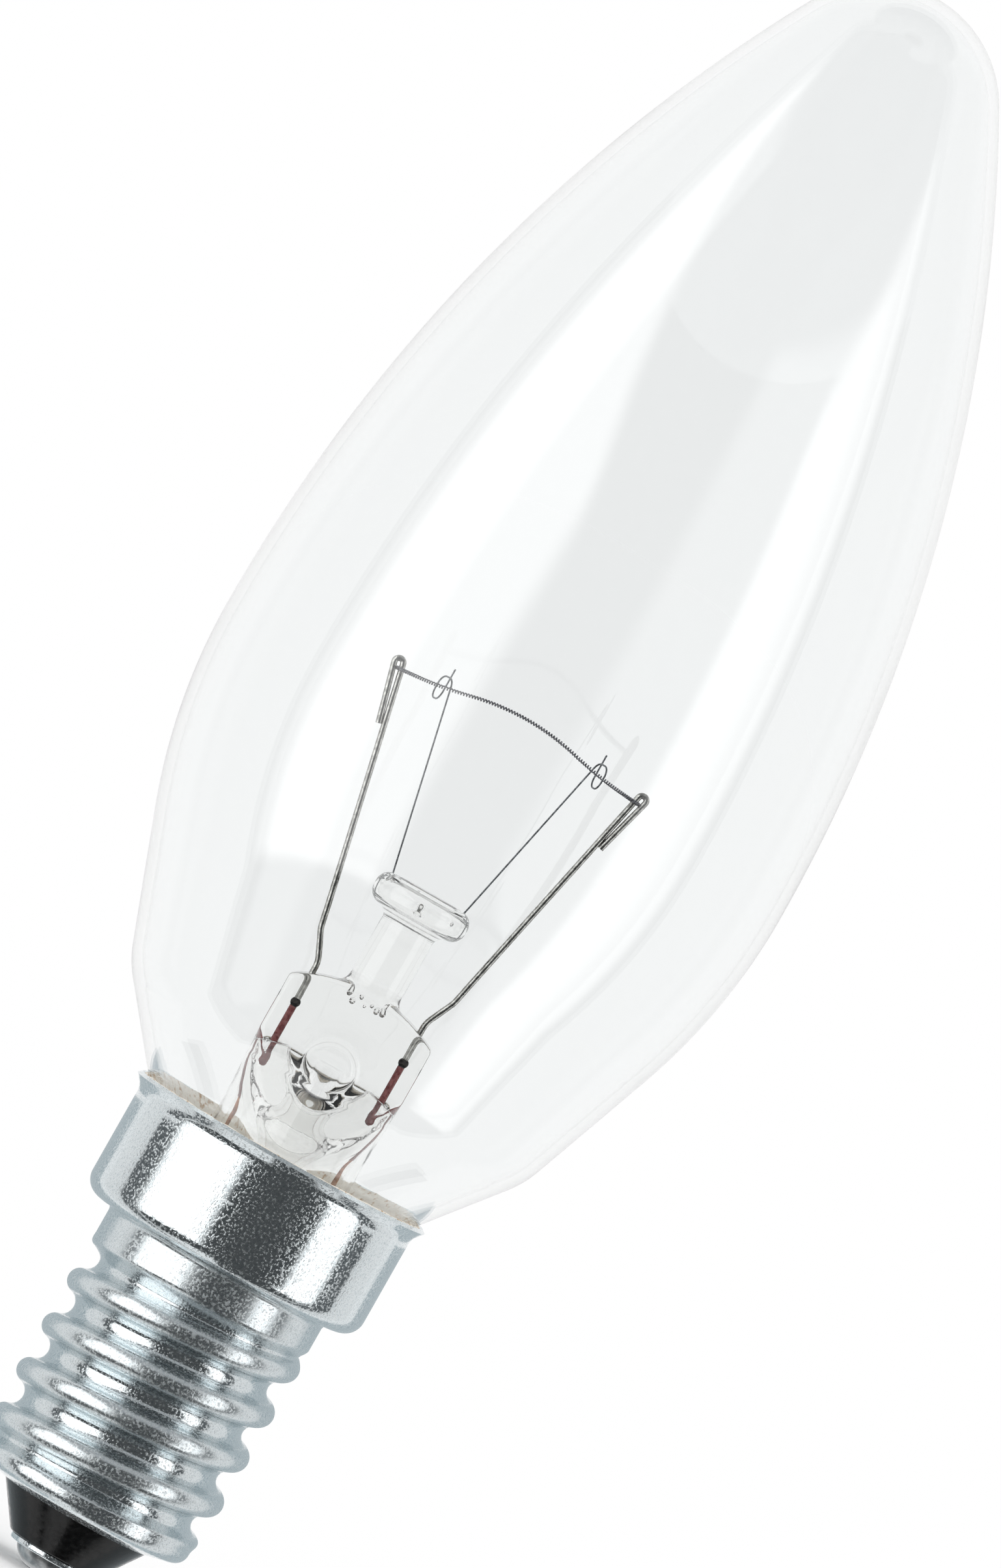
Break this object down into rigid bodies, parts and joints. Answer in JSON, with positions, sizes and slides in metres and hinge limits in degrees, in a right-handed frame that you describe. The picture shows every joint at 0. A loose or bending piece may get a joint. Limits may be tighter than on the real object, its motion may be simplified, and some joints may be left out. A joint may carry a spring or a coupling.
{
  "type": "light bulb",
  "caption": "Clear glass candle lamp with a small Edison screw cap, a pressed glass stem, lead and support wires and a coiled filament, made to screw into a lampholder.",
  "frame": {"origin": "the end of the centre contact, on the lamp's axis", "axes": "+Z along the axis from the cap to the tip of the glass, -Y out of the flat face of the stem, +X along the filament"},
  "size_m": [0.035, 0.035, 0.0994],
  "materials": {
    "clear_glass": "clear, blown and fire-polished",
    "nickel_plated_brass": "bright nickel plate on rolled sheet",
    "black_glass": "moulded black glass, glossy",
    "solder": "soft solder, satin",
    "cement": "baked capping cement, matt",
    "nickel_wire": "drawn nickel wire",
    "copper_clad_wire": "copper-clad wire, oxidised red in the seal",
    "copper_wire": "bare copper wire",
    "molybdenum_wire": "thin drawn molybdenum wire",
    "tungsten": "coiled tungsten wire, dull grey"
  },
  "bodies": {
    "root": {"glass_envelope": "clear_glass", "stem_press": "clear_glass", "exhaust_tube": "clear_glass", "support_rod": "clear_glass", "inner_lead_left": "nickel_wire", "inner_lead_right": "nickel_wire", "seal_wire_left": "copper_clad_wire", "seal_wire_right": "copper_clad_wire", "support_wire_left": "molybdenum_wire", "support_wire_right": "molybdenum_wire", "filament": "tungsten", "cap_shell": "nickel_plated_brass", "cap_insulator": "black_glass", "contact_plate": "nickel_plated_brass", "capping_cement": "cement", "outer_lead_side": "copper_wire", "outer_lead_centre": "copper_wire", "centre_solder": "solder", "side_solder": "solder"}
  },
  "joints": []
}
